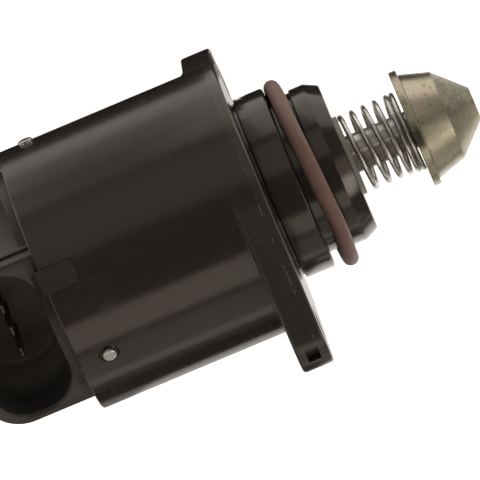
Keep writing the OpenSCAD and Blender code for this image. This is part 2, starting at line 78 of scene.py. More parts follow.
def settle(piece):  # bakes the piece's modifiers into its mesh
    graph = bpy.context.evaluated_depsgraph_get()
    mesh = bpy.data.meshes.new_from_object(piece.evaluated_get(graph))
    piece.modifiers.clear()
    piece.data = mesh


def combine(piece, tool, operation):
    change = piece.modifiers.new("change", "BOOLEAN")
    change.object = tool
    change.operation = operation
    change.solver = "EXACT"
    settle(piece)
    bpy.data.objects.remove(tool)
    return piece


def finishPiece(piece, body, slot, replaced, edgeAngle=softEdge):
    tidyMesh(piece, gap=1e-4)
    piece.data.transform(Matrix.Scale(mm, 4))
    piece.data.materials.clear()
    piece.data.materials.append(finishes[slot].material)
    piece.data.shade_smooth()
    piece.data.set_sharp_from_angle(angle=radians(edgeAngle))
    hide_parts(*replaced)
    if body:
        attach(piece, body)
    return piece


def roundPath(corners, steps=5, closed=True):
    # corners are (x, r, radius): each is swapped for an arc of that radius
    path = []
    count = len(corners)
    for i, corner in enumerate(corners):
        here = Vector(corner[:2])
        radius = corner[2] if len(corner) > 2 else 0
        if not radius or (not closed and i in (0, count - 1)):
            path.append(tuple(here))
            continue
        back = Vector(corners[i - 1][:2]) - here
        on = Vector(corners[(i + 1) % count][:2]) - here
        half = back.angle(on) / 2
        reach = radius / tan(half)
        start = here + back.normalized() * reach
        end = here + on.normalized() * reach
        centre = here + (back.normalized() + on.normalized()).normalized() * radius / sin(half)
        a, b = start - centre, end - centre
        sweep = a.angle(b)
        for k in range(steps + 1):
            t = k / steps
            swung = a * sin((1 - t) * sweep) + b * sin(t * sweep)
            path.append(tuple(centre + swung / sin(sweep)))
    return path


def spread(extra=(), count=240, gap=0.05):
    # even angles round the axis with a few extra ones between them, none within the gap
    angles = {round(360 * i / count, 4) for i in range(count)}
    angles |= {round(angle % 360, 4) for angle in extra}
    kept = []
    for angle in sorted(angles):
        if not kept or angle - kept[-1] > gap:
            kept.append(angle)
    return kept


def hoop(name, rings, onAxis):
    # joins rings of points into a closed hoop; onAxis says which of a ring's points
    # lie on the axis, where a face has three corners
    size = len(onAxis)
    faces = []
    for i in range(len(rings)):
        k = (i + 1) % len(rings)
        for j in range(size):
            n = (j + 1) % size
            if onAxis[j] and onAxis[n]:
                continue
            face = [i * size + j, k * size + j, k * size + n, i * size + n]
            if onAxis[j]:
                face.pop(1)
            elif onAxis[n]:
                face.pop(2)
            faces.append(face)
    return newPiece(name, [point for ring in rings for point in ring], faces)


def tube(name, rings):
    # joins rings of points one after the other and closes both ends
    size, last = len(rings[0]), len(rings) - 1
    faces = []
    for i in range(last):
        low, high = i * size, (i + 1) * size
        for j in range(size):
            n = (j + 1) % size
            faces.append((low + j, low + n, high + n, high + j))
    faces.append(tuple(range(size)))
    faces.append(tuple(last * size + j for j in range(size)))
    return newPiece(name, [point for ring in rings for point in ring], faces)


def lathe(name, path, angles, lift=None):
    # path is (x, r); angles run from +Z towards -Y
    rings = []
    for angle in angles:
        a = radians(angle)
        wide = [(x, r + (lift(x, r, angle) if lift else 0)) for x, r in path]
        rings.append([(x, -r * sin(a), r * cos(a)) for x, r in wide])
    return hoop(name, rings, [r < 1e-6 for x, r in path])


def stack(name, outline, levels, place):
    # outline(inset) gives a ring of points and levels are (height, inset);
    # place turns (u, v, height) into x, y, z
    rings = [[place(u, v, height) for u, v in outline(inset)] for height, inset in levels]
    return tube(name, rings)


def edgeRound(height, inset, radius, way, steps=5):
    # levels of a rounded edge that ends at this height (way 1) or starts there (way -1)
    levels = []
    for k in range(steps + 1):
        t = pi / 2 * k / steps
        levels.append((height - way * radius * (1 - sin(t)), inset + radius * (1 - cos(t))))
    return levels if way > 0 else levels[::-1]


def wireRing(x, radius, thick, a, sides):
    # the round section of a cord or wire that runs round the axis at this radius
    ring = []
    for j in range(sides):
        b = 2 * pi * j / sides
        r = radius + thick * cos(b)
        ring.append((x + thick * sin(b), -r * sin(a), r * cos(a)))
    return ring


def upright(u, v, height):
    return (u, v, height)


def block(name, low, high):
    ring = [(low[0], low[1]), (high[0], low[1]), (high[0], high[1]), (low[0], high[1])]
    return stack(name, lambda inset: ring, [(low[2], 0), (high[2], 0)], upright)


def turned(angle, u, v):  # a point across the axis, turned from +Z to an angle round it
    a = radians(angle)
    return (u * cos(a) - v * sin(a), u * sin(a) + v * cos(a))


def turning(angle):
    return Matrix.Rotation(radians(angle), 4, "X")


# Materials. Wire stands for a node's output, so that its sums add Math nodes.

class Wire:
    def __init__(self, finish, socket):
        self.finish, self.socket = finish, socket

    def __add__(self, other):
        return self.finish.maths("ADD", self, other)

    __radd__ = __add__

    def __mul__(self, other):
        return self.finish.maths("MULTIPLY", self, other)

    def __sub__(self, other):
        return self.finish.maths("SUBTRACT", self, other)

    def __truediv__(self, other):
        return self.finish.maths("DIVIDE", self, other)

    def __neg__(self):
        return self.finish.maths("MULTIPLY", self, -1)


class Finish:
    def __init__(self, name, fixed=None):
        self.material = bpy.data.materials.new(name)
        self.material.use_nodes = True
        self.nodes = self.material.node_tree.nodes
        self.links = self.material.node_tree.links
        self.shader = self.nodes["Principled BSDF"]
        self.feed(fixed or {})
        place = self.add("ShaderNodeTexCoord", out="Object")
        self.point = self.add("ShaderNodeVectorMath", {"operation": "SCALE"}, {
            0: place, "Scale": 1 / mm})
        self.x, self.y, self.z = [
            self.add("ShaderNodeSeparateXYZ", {}, {0: self.point}, out=k) for k in range(3)]

    def add(self, kind, settings=None, inputs=None, out=0):
        node = self.nodes.new(kind)
        for key, value in (settings or {}).items():
            setattr(node, key, value)
        self.fill(node, inputs or {})
        return Wire(self, node.outputs[out])

    def fill(self, node, inputs):
        for key, value in inputs.items():
            if isinstance(value, Wire):
                self.links.new(value.socket, node.inputs[key])
            else:
                if isinstance(value, tuple) and node.inputs[key].type == "RGBA":
                    value = (*value, 1)
                node.inputs[key].default_value = value

    def feed(self, inputs):
        self.fill(self.shader, inputs)

    def fed(self, key):  # what drives an input of the shader so far
        return Wire(self, self.shader.inputs[key].links[0].from_socket)

    def maths(self, operation, a, b=0.0):
        return self.add("ShaderNodeMath", {"operation": operation}, {0: a, 1: b})

    def stretch(self, scales):
        return self.add("ShaderNodeVectorMath", {"operation": "MULTIPLY"}, {
            0: self.point, 1: scales})

    def noise(self, scale, detail=3.0, rough=0.5, where=None):
        return self.add("ShaderNodeTexNoise", {}, {
            "Vector": where or self.point, "Scale": scale, "Detail": detail, "Roughness": rough})

    def step(self, value, low, high, first=0.0, last=1.0):
        return self.add("ShaderNodeMapRange", {"interpolation_type": "SMOOTHSTEP", "clamp": True}, {
            "Value": value, "From Min": low, "From Max": high, "To Min": first, "To Max": last})

    def fade(self, value, low, high):  # 1 below low and 0 above high
        return self.step(value, low, high, 1.0, 0.0)

    def within(self, value, middle, low, high):  # 1 near the middle and 0 away from it
        return self.fade(self.maths("ABSOLUTE", value - middle), low, high)

    def tint(self, a, b, amount):
        return self.add("ShaderNodeMix", {"data_type": "RGBA"}, {0: amount, 6: a, 7: b}, out=2)

    def radius(self):
        return self.maths("SQRT", self.y * self.y + self.z * self.z)

    def sweep(self, low, high, first=0.0, last=1.0):
        # a step along the angle round the axis, in degrees from +Z towards -Y
        angle = self.maths("ARCTAN2", -self.y, self.z)
        return self.step(angle, radians(low), radians(high), first, last)

    def side(self, start, end):  # 1 from one angle to the other and 0 on the far side
        return self.sweep(*start) * self.sweep(*end, 1.0, 0.0)

    def bump(self, height, depth, strength=1.0, under=None):
        # depth in millimetres
        inputs = {"Height": height, "Distance": depth * mm, "Strength": strength}
        if under:
            inputs["Normal"] = under
        return self.add("ShaderNodeBump", {}, inputs)


def scratches(finish, scale, scales, level):
    # thin broken lines: a stretched noise cut off near its top
    lines = finish.noise(scale, 2.0, 0.6, finish.stretch(scales))
    return finish.step(lines, level, level + 0.03)


housingLook = {
    "dull": (0.0178, 0.0138, 0.0114),
    "glossy": (0.0200, 0.0158, 0.0132),
    "dust": (0.045, 0.040, 0.034),
    "flash": (0.24, 0.22, 0.19),
    "sheen": (1.0, 0.89, 0.80),
    "dullRough": 0.25,
    "glossRough": 0.15,
    "noseGloss": 0.8,
    "dustAmount": 0.22,
    "scratchAmount": 0.3,
    "handledAmount": 0.3,
    "edgeHighlightAmount": 0.1,
    "grainDepth": 0.008,
    "peelDepth": 0.02,
    "barrelEnd": (-4.75, -4.6),
    "barrelSkin": (17.36, 17.42),
    "noseStart": (0.05, 0.1),
    "flangeRear": (-4.2, -4.1),
    "flangeFront": (0.0, 0.05),
    "earSkin": (17.32, 17.5),
    "frontStrip": (-1.3, -1.1),
    "flangeMiddle": -2.05,
    "flashLine": -1.2,
}
mouldLine = -33.6
mouldLineFar = mouldLine + 180
lineBlur = 0.2


def blackPlastic():
    look = housingLook
    f = Finish("blackPlastic", {"IOR": 1.52, "Specular Tint": look["sheen"]})
    radius = f.radius()
    # the side of the barrel between the two mould lines is glossier
    lower = f.side(*[(line - lineBlur, line + lineBlur) for line in (mouldLine, mouldLineFar)])
    onBarrel = f.fade(f.x, *look["barrelEnd"]) * f.fade(radius, *look["barrelSkin"])
    onNose = f.step(f.x, *look["noseStart"])
    gloss = f.maths("MAXIMUM", lower * onBarrel, onNose * look["noseGloss"])
    patches = f.noise(0.16, 4.0, 0.6)
    speckle = f.noise(3.5, 3.0, 0.6)
    dust = f.step(patches * 0.7 + speckle * 0.3, 0.5, 0.72)
    lines = scratches(f, 1.3, (0.35, 2.6, 2.6), 0.67) * (0.4 + patches)
    # the ears and the front strip of the flange are worn by handling
    onFlange = f.step(f.x, *look["flangeRear"]) * f.fade(f.x, *look["flangeFront"])
    onFlange = onFlange * f.maths(
        "MAXIMUM", f.step(radius, *look["earSkin"]), f.step(f.x, *look["frontStrip"]))
    fromMiddle = f.maths("ABSOLUTE", f.x - look["flangeMiddle"])
    # painted highlight: lighter lines along the flange's front and rear edges, added to the
    # handling wear
    edgeHighlight = f.step(fromMiddle, 1.7, 1.9) * onFlange
    handledAndHighlight = onFlange * (look["handledAmount"] + speckle * 0.16)
    handledAndHighlight = handledAndHighlight + edgeHighlight * (look["edgeHighlightAmount"] + patches * 0.5)
    flash = f.within(f.x, look["flashLine"], 0.03, 0.07) * onFlange
    flash = flash * f.step(f.noise(1.0, 2.0, 0.5, f.stretch((0.1, 0.9, 0.9))), 0.52, 0.58)
    wearAndHighlight = f.maths("MAXIMUM", dust * look["dustAmount"], lines * look["scratchAmount"]) + handledAndHighlight
    base = f.tint(look["dull"], look["glossy"], gloss)
    rough = look["dullRough"] + gloss * (look["glossRough"] - look["dullRough"])
    peel = f.bump(f.noise(0.55, 2.0, 0.5), look["peelDepth"], 0.35)
    f.feed({
        "Base Color": f.tint(f.tint(base, look["dust"], wearAndHighlight), look["flash"], flash * speckle),
        "Roughness": rough + dust * 0.07 + lines * 0.12,
        "Normal": f.bump(f.noise(7.0, 3.0, 0.7), look["grainDepth"], 0.5, peel),
    })
    return f


capLook = {
    "base": (0.0175, 0.0155, 0.0130),
    "worn": (0.042, 0.038, 0.033),
    # painted light inside the socket; the deep colour paints it paler still at its lower end
    "inside": (0.034, 0.031, 0.028),
    "deep": (0.24, 0.22, 0.198),
    "sheen": (1.0, 0.88, 0.79),
    "rough": 0.45,
    "wornAmount": 0.35,
    "grainDepth": 0.012,
    "flowDepth": 0.02,
    "socketMiddle": -35.875,
    "socketWidth": (5.2, 5.3),
    "socketLength": (9.85, 9.95),
    "socketFloor": (-2.0, -1.6),
    "socketLightSide": (-9.9, 0.0),
    "socketLightHeight": (0.0, 9.0),
}


def capPlastic():
    look = capLook
    f = Finish("capPlastic", {"IOR": 1.52, "Specular Tint": look["sheen"]})
    patches = f.noise(0.22, 4.0, 0.6)
    flow = f.noise(0.9, 3.0, 0.6, f.stretch((0.4, 1.4, 1.4)))
    worn = f.step(patches * 0.6 + flow * 0.4, 0.48, 0.7)
    # painted light: the socket is paler inside, most of all low down at its end towards -Y
    inside = f.within(f.x, look["socketMiddle"], *look["socketWidth"])
    inside = inside * f.within(f.y, 0.0, *look["socketLength"])
    inside = inside * f.step(f.z, *look["socketFloor"])
    deep = f.fade(f.y, *look["socketLightSide"]) * f.fade(f.z, *look["socketLightHeight"])
    outer = f.tint(look["base"], look["worn"], worn * look["wornAmount"])
    paintedSocketLight = f.tint(look["inside"], look["deep"], deep)
    grain = f.noise(5.0, 3.0, 0.65)
    f.feed({
        "Base Color": f.tint(outer, paintedSocketLight, inside),
        "Roughness": look["rough"] + worn * 0.1,
        "Normal": f.bump(grain, look["grainDepth"], 0.6, f.bump(flow, look["flowDepth"], 0.3)),
    })
    return f


def faded(name, base, pale, rough, grain, depth):
    f = Finish(name)
    patches = f.step(f.noise(0.5, 4.0, 0.65), 0.36, 0.66)
    specks = f.step(f.noise(6.0, 2.0, 0.6), 0.52, 0.7)
    f.feed({
        "Base Color": f.tint(base, pale, patches * 0.6 + specks * 0.25),
        "Roughness": rough + patches * 0.12,
        "Normal": f.bump(f.noise(grain, 4.0, 0.7), depth, 0.7),
    })
    return f


def metal(name, base, stain, rough, lines, depth, metallic=1.0):
    # lines stretches the machining marks: large across them, small along them
    f = Finish(name, {"Metallic": metallic})
    stains = f.step(f.noise(0.6, 4.0, 0.6), 0.42, 0.72)
    marks = f.noise(1.0, 3.0, 0.6, f.stretch(lines))
    f.feed({
        "Base Color": f.tint(base, stain, stains * 0.5),
        "Roughness": rough + (marks - 0.5) * 0.16 + stains * 0.08,
        "Normal": f.bump(marks, depth, 0.6),
    })
    return f


def turnedMetal(name, base, stain, rough, pitch, depth):
    # rings left by the lathe's tool, round the valve's axis
    f = Finish(name, {"Metallic": 1.0})
    stains = f.step(f.noise(0.45, 4.0, 0.6), 0.4, 0.72)
    rings = f.noise(1.0, 2.0, 0.5, f.add("ShaderNodeCombineXYZ", {}, {
        0: f.x / pitch, 1: f.radius() / pitch}))
    broken = f.noise(1.6, 3.0, 0.6)
    f.feed({
        "Base Color": f.tint(base, stain, stains * 0.5),
        "Roughness": rough + (rings - 0.5) * 0.14 + stains * 0.08,
        "Normal": f.bump(rings + broken * 0.25, depth, 0.6),
    })
    return f


pintleLook = {
    "plating": (0.36, 0.335, 0.235),
    "stain": (0.25, 0.225, 0.15),
    "pink": (0.40, 0.325, 0.265),
    # painted shade for the disc's rim and the steep cone
    "paintedShade": (0.045, 0.040, 0.030),
    "speck": (0.50, 0.46, 0.34),
    "pit": (0.13, 0.095, 0.06),
    "rough": 0.3,
    "pitch": 0.11,
    "depth": 0.006,
    "pinkAmount": 0.7,
    "speckAmount": 0.34,
    "pitAmount": 0.7,
    "rimEnd": (20.55, 20.72),
    "rimShade": (0.15, 0.6),  # all round, and more of it on the shaded side
    "shadeStart": (-30, -22),
    "shadeEnd": (-12, -4),
    "tipStart": (24.3, 24.7),
    "tipShade": (0.72, 0.2),  # before and after the turn, which is in degrees
    "tipTurn": (-35, -12),
}


def pintleMetal():
    # painted shade darkens the plating on the disc's rim, more on one side, and on the steep cone,
    # most on one side
    look = pintleLook
    f = turnedMetal(
        "platedSteel", look["plating"], look["stain"], look["rough"], look["pitch"], look["depth"])
    evenly, more = look["rimShade"]
    shade = f.side(look["shadeStart"], look["shadeEnd"])
    rim = f.fade(f.x, *look["rimEnd"]) * (evenly + shade * more)
    tip = f.step(f.x, *look["tipStart"]) * f.sweep(*look["tipTurn"], *look["tipShade"])
    pink = f.step(f.noise(0.28, 3.0, 0.55), 0.42, 0.6)
    base = f.tint(f.fed("Base Color"), look["pink"], pink * look["pinkAmount"])
    base = f.tint(base, look["paintedShade"], rim + tip)
    specks = f.step(f.noise(3.2, 4.0, 0.75, f.stretch((0.7, 1.0, 1.0))), 0.5, 0.66)
    pits = f.step(f.noise(1.9, 3.0, 0.7), 0.61, 0.68)
    base = f.tint(base, look["speck"], specks * look["speckAmount"])
    base = f.tint(base, look["pit"], pits * look["pitAmount"])
    f.feed({
        "Base Color": base,
        "Roughness": f.fed("Roughness") + specks * 0.08 + pits * 0.15,
    })
    return f


stemLook = {
    "steel": (0.42, 0.40, 0.36),
    "stain": (0.20, 0.185, 0.16),
    # painted dark reflection on one side of the stem
    "paintedReflection": (0.075, 0.062, 0.052),
    "rough": 0.32,
    "lines": (0.8, 9.0, 9.0),
    "depth": 0.006,
    "paintedReflectionStart": (-34, -18),
    "paintedReflectionEnd": (100, 130),
    "paintedReflectionAmount": 0.55,
    "paintedReflectionPatches": 0.6,
}


def stemMetal():
    # painted dark reflection: one side of the stem is darker, in patches
    look = stemLook
    f = metal(
        "stemSteel", look["steel"], look["stain"], look["rough"], look["lines"], look["depth"])
    patches = f.noise(1.1, 4.0, 0.7) * look["paintedReflectionPatches"]
    paintedReflection = f.side(look["paintedReflectionStart"], look["paintedReflectionEnd"]) * (look["paintedReflectionAmount"] + patches)
    f.feed({"Base Color": f.tint(f.fed("Base Color"), look["paintedReflection"], paintedReflection)})
    return f


finishes = {
    "black_plastic": blackPlastic(),
    "cap_plastic": capPlastic(),
    "plated_steel": pintleMetal(),
    "stem_steel": stemMetal(),
    # name, colour, pale colour, roughness, scale and depth of the grain
    "seal_rubber": faded(
        "sealRubber", (0.02, 0.02, 0.02), (0.05, 0.05, 0.048), 0.6, 8.0, 0.01),
    "ring_rubber": faded(
        "ringRubber", (0.150, 0.078, 0.060), (0.20, 0.115, 0.092), 0.5, 7.0, 0.015),
    "bush_plastic": faded(
        "bushPlastic", (0.33, 0.31, 0.265), (0.25, 0.23, 0.19), 0.5, 5.0, 0.012),
    "ferrite": faded(
        "ferrite", (0.045, 0.045, 0.05), (0.09, 0.09, 0.095), 0.5, 9.0, 0.01),
    "bobbin_plastic": faded(
        "bobbinPlastic", (0.72, 0.69, 0.58), (0.6, 0.56, 0.45), 0.45, 5.0, 0.01),
    # name, colour, stain, roughness, stretch and depth of the machining marks
    "bright_steel": metal(
        "brightSteel", (0.46, 0.45, 0.42), (0.30, 0.28, 0.25), 0.24, (3.0, 3.0, 3.0), 0.004),
    # the terminals' colours are darkened partly as tarnish and partly as painted shade of the deep
    # socket
    "tinned_brass": metal(
        "tinnedBrass", (0.15, 0.135, 0.105), (0.10, 0.085, 0.06), 0.5, (6.0, 6.0, 1.2), 0.004, 0.5),
    "spring_steel": metal(
        "springSteel", (0.54, 0.53, 0.49), (0.24, 0.22, 0.19), 0.27, (3.0, 5.0, 5.0), 0.006),
    "stator_steel": metal(
        "statorSteel", (0.56, 0.56, 0.55), (0.40, 0.39, 0.36), 0.35, (1.0, 7.0, 7.0), 0.006),
    # name, colour, stain, roughness, pitch and depth of the rings
    "nut_brass": turnedMetal(
        "nutBrass", (0.76, 0.58, 0.28), (0.5, 0.36, 0.16), 0.3, 0.2, 0.008),
    "copper_wire": turnedMetal(
        "copperWire", (0.72, 0.30, 0.14), (0.5, 0.2, 0.09), 0.3, 0.09, 0.03),
}
for entry in frame["record"]["subparts"]:
    solid = nodes[entry["node"]]
    solid.data.materials.clear()
    solid.data.materials.append(finishes[entry["material_slot"]].material)
    solid.data.set_sharp_from_angle(angle=radians(softEdge))
print("materials made:", len(finishes))


# Housing: barrel, ears and nose in one moulding

barrel = {
    "radius": 17.3, "rear": -29.3, "bore": 15.1, "boreEdge": 0.15, "rearEdge": 0.3,
    "frontEdge": 0.45, "seamHeight": 0.035, "seamHalfAngle": 0.3, "seamEnds": (-29, -4.3),
}
flange = {
    "thickness": 4.1, "earRadius": 5, "reach": 22.05, "angles": (25.3, 193.7), "edge": 0.42,
    "hole": 2.25, "holeEdge": 0.25, "fillet": 0.3,
    "pocket": (1.7, 2.0, 1.0), "pocketTurn": -13,  # along the axis, across it, deep
}
keyPlace = {"angle": -28, "width": 3.3, "length": 4.4, "gap": 0.05, "foot": 13}
pinPlace = {
    "angles": (12, 132, 252), "x": -25.3, "radius": 0.925, "top": 17.8, "length": 4.2,
    "footEdge": 0.1, "topEdge": 0.28, "dimple": 1.25, "depth": 0.25, "dimpleFoot": 0.12,
    "dimpleEdge": 0.15,
}
noseCorners = [
    (0, 11.55, 0.15), (0.5, 11.55, 0.12), (0.5, 12.05, 0.12), (4.4, 12.05, 0.3),
    (4.4, 10.2, 0.15), (7.3, 10.2, 0.1), (7.3, 10.5, 0.12), (9.3, 10.5, 0.35), (11.1, 9.65, 0.25),
]
boreCorners = [
    (11.1, 4.05), (5.1, 4.05), (5.1, 2.75), (3.6, 2.75), (3.6, 5.05), (1.1, 5.05), (1.1, 8.05),
    (-2.9, 8.05), (-2.9, barrel["bore"]),
]
tangent = acos((barrel["radius"] - flange["earRadius"]) / flange["reach"])


def seamLift(x, r, angle):
    start, end = barrel["seamEnds"]
    for seam in (mouldLine, mouldLineFar):
        onSeam = abs((angle - seam + 180) % 360 - 180) < 0.1
        if onSeam and start < x < end and r > barrel["radius"] - 0.1:
            return barrel["seamHeight"]
    return 0


def earOutline(inset, steps=40):
    big, small = barrel["radius"] - inset, flange["earRadius"] - inset
    ring = [(0, 0), (-sin(tangent) * big, cos(tangent) * big)]
    for k in range(steps + 1):
        t = -tangent + 2 * tangent * k / steps
        ring.append((sin(t) * small, flange["reach"] + cos(t) * small))
    ring.append((sin(tangent) * big, cos(tangent) * big))
    return ring


def earPlace(angle):
    return lambda u, v, x: (x, *turned(angle, u, v))


def earBody(angle):
    t, edge = flange["thickness"], flange["edge"]
    levels = edgeRound(-t, 0, edge, -1) + edgeRound(0, 0, edge, 1)
    return stack("ear", earOutline, levels, earPlace(angle))


def earFillet(angle, steps=6):
    # the ring in the corner behind the ear, kept only where the ear covers it
    r, t, f = barrel["radius"], flange["thickness"], flange["fillet"]
    path = [(-t + 0.5, r - 1), (-t - f, r - 1)]
    for k in range(steps + 1):
        a = pi / 2 * k / steps
        path.append((-t - f * (1 - sin(a)), r + f * (1 - cos(a))))
    path.append((-t + 0.5, r + f))
    ring = lathe("fillet", path, spread())
    mask = stack("mask", earOutline, [(-t - 2, 0), (-t + 1, 0)], earPlace(angle))
    return combine(ring, mask, "INTERSECT")


def screwHole(angle):
    # a cutter that rounds the hole's two mouths
    t, r, e = flange["thickness"], flange["hole"], flange["holeEdge"]
    path = [(-t - 1, 0), (-t - 1, r + e), (-t - 0.02, r + e)]
    path += [(-t + e * (1 - cos(a)), r + e * (1 - sin(a))) for a in (pi / 6, pi / 3, pi / 2)]
    path += [(-e * (1 - cos(a)), r + e * (1 - sin(a))) for a in (pi / 2, pi / 3, pi / 6)]
    path += [(0.02, r + e), (1, r + e), (1, 0)]
    cutter = lathe("hole", path, spread(count=72))
    y, z = turned(angle, 0, flange["reach"])
    cutter.data.transform(Matrix.Translation((0, y, z)))
    return cutter


def toPinPlace(piece, angle):
    piece.data.transform(Matrix.Rotation(-pi / 2, 4, "Y"))
    piece.data.transform(turning(angle) @ Matrix.Translation((pinPlace["x"], 0, 0)))


def dimple(angle):
    r, top, edge = pinPlace["dimple"], barrel["radius"], pinPlace["dimpleEdge"]
    bottom, foot = top - pinPlace["depth"], pinPlace["dimpleFoot"]
    path = [(bottom, 0), (bottom, r - foot), (bottom + foot, r), (top - 0.1, r)]
    path += [(top + 0.05, r + edge), (top + 1, r + edge), (top + 1, 0)]
    cutter = lathe("dimple", path, spread(count=48))
    toPinPlace(cutter, angle)
    return cutter


def makeHousing():
    b = barrel
    corners = [
        (b["rear"], b["bore"], b["boreEdge"]), (b["rear"], b["radius"], b["rearEdge"]),
        (0, b["radius"], b["frontEdge"]),
    ]
    path = roundPath(corners + noseCorners + boreCorners)
    edgeAngles = [a + s * degrees(tangent) for a in flange["angles"] for s in (-1, 1)]
    seams = [s + k * b["seamHalfAngle"] for s in (mouldLine, mouldLineFar) for k in (-1, 0, 1)]
    piece = lathe("housingBody", path, spread(edgeAngles + seams), seamLift)
    for angle in flange["angles"]:
        combine(piece, earBody(angle), "UNION")
        combine(piece, earFillet(angle), "UNION")
    for angle in flange["angles"]:
        combine(piece, screwHole(angle), "DIFFERENCE")
    for angle in pinPlace["angles"]:
        combine(piece, dimple(angle), "DIFFERENCE")
    half = keyPlace["width"] / 2
    low = (b["rear"] - 1, -half, b["bore"] - 0.5)
    slot = block("slot", low, (b["rear"] + keyPlace["length"], half, b["radius"] + 1))
    slot.data.transform(turning(keyPlace["angle"]))
    combine(piece, slot, "DIFFERENCE")
    w, h, deep = flange["pocket"]
    low = (-w / 2, -h / 2, flange["earRadius"] - deep)
    pocket = block("pocket", low, (w / 2, h / 2, flange["earRadius"] + 1))
    pocket.data.transform(
        turning(flange["angles"][0])
        @ Matrix.Translation((-flange["thickness"] / 2, 0, flange["reach"]))
        @ turning(flange["pocketTurn"]))
    combine(piece, pocket, "DIFFERENCE")
    return finishPiece(piece, "casing", "black_plastic", ["housing"])


makeHousing()
print("housing made")


# End cap with its socket

cap = {
    "radius": 15.7, "rear": -42.8, "front": -29.3, "half": 11.25, "mouth": 12.5, "rim": 1.8,
    "rimStep": 0.35, "rimFoot": 0.18, "corner": 5.5, "backEdge": 2.5, "mouthEdge": 0.35,
    "shroud": 8,
}
cavity = {
    "x": -35.875, "length": 19.6, "width": 10.25, "corner": 4.6, "floor": -1.3, "edge": 0.5,
    "floorEdge": 0.6,
}
spigotCorners = [
    (-30.5, 0), (-30.5, 15.05), (-23.0, 15.05, 0.1), (-23.0, 13.4), (-21.1, 13.4),
    (-21.1, 15.05, 0.1), (-20.3, 15.05, 0.2), (-20.3, 12.05, 0.2), (-26.5, 12.05, 0.4),
    (-26.5, 6.01, 0.4), (-21.4, 6.01, 0.2), (-21.4, 4.51), (-25.9, 4.51), (-25.9, 0),
]


def arc(cx, cy, r, start, end, steps=14):
    turns = [start + (end - start) * k / steps for k in range(steps + 1)]
    return [(cx + r * cos(a), cy + r * sin(a)) for a in turns]


def capPlan(inset):
    half, rear, r = cap["half"] - inset, cap["rear"] + inset, cap["corner"] - inset
    ring = [(cap["front"], -half), (cap["front"], half)]
    ring += arc(rear + r, half - r, r, pi / 2, pi)
    ring += arc(rear + r, -half + r, r, pi, 3 * pi / 2)
    return ring


def cavityPlan(inset):
    r = cavity["corner"] - inset
    hx, hy = cavity["width"] / 2 - inset - r, cavity["length"] / 2 - inset - r
    ring = []
    for sx, sy, start in ((1, 1, 0), (-1, 1, pi / 2), (-1, -1, pi), (1, -1, 3 * pi / 2)):
        ring += arc(cavity["x"] + sx * hx, sy * hy, r, start, start + pi / 2)
    return ring


def makeKey(steps=12):
    # fills the slot in the barrel's rear and follows its round
    gap, foot = keyPlace["gap"], keyPlace["foot"]
    half, top = keyPlace["width"] / 2 - gap, barrel["radius"] - gap
    across = [half * (2 * k / steps - 1) for k in range(steps + 1)]
    section = [(-half, foot)] + [(y, sqrt(top * top - y * y)) for y in across] + [(half, foot)]
    levels = [(cap["front"] - 0.5, 0), (cap["front"] + keyPlace["length"] - gap, 0)]
    key = stack("key", lambda inset: section, levels, lambda u, v, x: (x, u, v))
    key.data.transform(turning(keyPlace["angle"]))
    return key


def makeCap():
    # the round body and the shroud are larger than the plan, which trims them
    c = cap
    front, rear = -28, c["rear"] - 0.04
    corners = [(front, 0), (rear, 0), (rear, c["radius"], c["backEdge"]), (front, c["radius"])]
    piece = lathe("capBody", roundPath(corners, steps=10), spread())
    combine(piece, block("shroud", (-46, -16, c["shroud"]), (-27, 16, 15)), "UNION")
    foot = c["mouth"] - c["rim"]
    levels = [(-18, 0), (foot - c["rimFoot"], 0), (foot - 0.05, 0.06), (foot, c["rimFoot"])]
    levels += [(foot + 0.02, c["rimStep"])]
    levels += edgeRound(c["mouth"], c["rimStep"], c["mouthEdge"], 1)
    combine(piece, stack("plan", capPlan, levels, upright), "INTERSECT")
    combine(piece, lathe("spigot", roundPath(spigotCorners), spread(count=180)), "UNION")
    combine(piece, makeKey(), "UNION")
    levels = edgeRound(cavity["floor"], 0, cavity["floorEdge"], -1)
    levels += [(height, -out) for height, out in edgeRound(c["mouth"], 0, cavity["edge"], 1)]
    levels += [(c["mouth"] + 1, -cavity["edge"])]
    combine(piece, stack("cavity", cavityPlan, levels, upright), "DIFFERENCE")
    return finishPiece(piece, "casing", "cap_plastic", ["end_cap"])


makeCap()
print("end cap made")


# Retaining pins with domed tops

def makePin(number, angle):
    p = pinPlace
    foot = p["top"] - p["length"]
    corners = [
        (foot, 0), (foot, p["radius"], p["footEdge"]), (p["top"], p["radius"], p["topEdge"]),
        (p["top"], 0),
    ]
    path = roundPath(corners, closed=False)
    piece = lathe("retainingPin%d" % number, path, spread(count=64))
    toPinPlace(piece, angle)
    return finishPiece(piece, "casing", "bright_steel", ["retaining_pin_%d" % number])


for number, angle in enumerate(pinPlace["angles"], 1):
    makePin(number, angle)
print("pins made")


# O-ring, a little off square in its groove

noseRing = {
    "middle": 11.67, "cord": 1.02, "x": 6.02, "lean": 0.47, "leanSide": 0.5, "hang": 0.13,
    "wave": 0.06, "ripple": 0.03, "swell": 0.012, "viewTurn": 28, "around": 288, "sides": 28,
}


def makeRing():
    o = noseRing
    rings = []
    for i in range(o["around"]):
        a = 2 * pi * i / o["around"]
        t = a + radians(o["viewTurn"])
        x = o["x"] + o["lean"] * cos(t) + o["leanSide"] * sin(t)
        x += o["wave"] * sin(3 * a + 1)
        x += o["ripple"] * sin(7 * a)
        cord = o["cord"] * (1 + o["swell"] * sin(5 * a + 2))
        rings.append(wireRing(x, o["middle"] + o["hang"] * sin(t), cord, a, o["sides"]))
    piece = hoop("noseRing", rings, [False] * o["sides"])
    return finishPiece(piece, "casing", "ring_rubber", ["nose_o_ring"], edgeAngle=80)


makeRing()
print("o-ring made")


# Pintle, turned and plated

